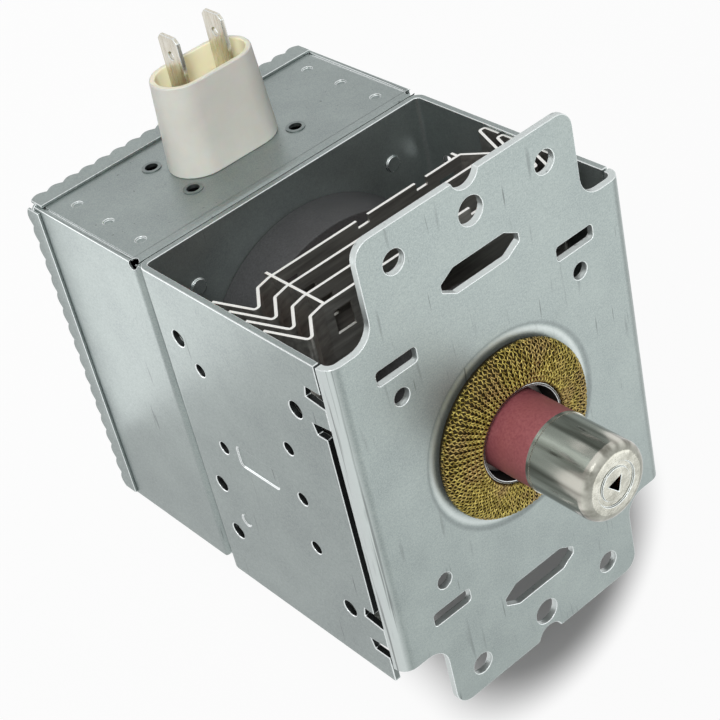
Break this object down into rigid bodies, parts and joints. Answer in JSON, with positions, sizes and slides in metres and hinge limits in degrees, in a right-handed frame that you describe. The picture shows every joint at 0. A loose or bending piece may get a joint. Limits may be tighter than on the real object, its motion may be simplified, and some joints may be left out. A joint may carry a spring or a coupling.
{
  "type": "microwave oven magnetron",
  "caption": "Microwave oven magnetron: folded steel yoke with ring magnets and cooling fins, eared mounting plate, antenna with mesh gasket, and shielded filter box with blade connector.",
  "frame": {"origin": "on the antenna axis, at the outer face of the front mounting plate", "axes": "+Z along the antenna, out of the plate; +Y towards the blade connector, along the air flow; +X across the yoke"},
  "size_m": [0.0728, 0.1185, 0.1212],
  "materials": {
    "galvanised_steel": "bright zinc coat on sheet steel, fine grain",
    "stainless_steel": "drawn, satin",
    "sealing_steel": "dull",
    "soft_iron": "dull",
    "refractory_metal": "dull grey",
    "brass_mesh": "knitted wire",
    "copper": "clean",
    "tinned_brass": "tin coat, satin",
    "fin_aluminium": "rolled sheet",
    "ferrite": "matte, ground faces",
    "pink_alumina": "matte",
    "white_alumina": "matte",
    "capacitor_ceramic": "matte",
    "ivory_plastic": "moulded, soft sheen",
    "black_plastic": "moulded"
  },
  "bodies": {
    "root": {"front_plate": "galvanised_steel", "yoke_frame": "galvanised_steel", "filter_case": "galvanised_steel", "filter_cover": "galvanised_steel", "gasket_ring": "brass_mesh", "output_ceramic": "pink_alumina", "antenna_cap": "stainless_steel", "exhaust_seal": "stainless_steel", "exhaust_tube": "copper", "antenna_lead": "copper", "output_seal_shell": "sealing_steel", "input_seal_shell": "sealing_steel", "output_magnet": "ferrite", "input_magnet": "ferrite", "output_pole_piece": "soft_iron", "input_pole_piece": "soft_iron", "anode_cylinder": "copper", "anode_vanes": "copper", "strap_rings": "copper", "filament": "refractory_metal", "upper_end_hat": "refractory_metal", "lower_end_hat": "refractory_metal", "centre_lead": "refractory_metal", "side_lead": "refractory_metal", "stem_ceramic": "white_alumina", "stem_terminal_left": "tinned_brass", "stem_terminal_right": "tinned_brass", "cooling_fin_1": "fin_aluminium", "cooling_fin_2": "fin_aluminium", "cooling_fin_3": "fin_aluminium", "cooling_fin_4": "fin_aluminium", "connector_housing": "ivory_plastic", "blade_left": "tinned_brass", "blade_right": "tinned_brass", "through_rod_left": "tinned_brass", "through_rod_right": "tinned_brass", "capacitor_body": "capacitor_ceramic", "capacitor_plate": "galvanised_steel", "capacitor_rivets": "galvanised_steel", "capacitor_cup": "black_plastic", "choke_coil_left": "copper", "choke_coil_right": "copper", "ferrite_rod_left": "ferrite", "ferrite_rod_right": "ferrite"}
  },
  "joints": []
}
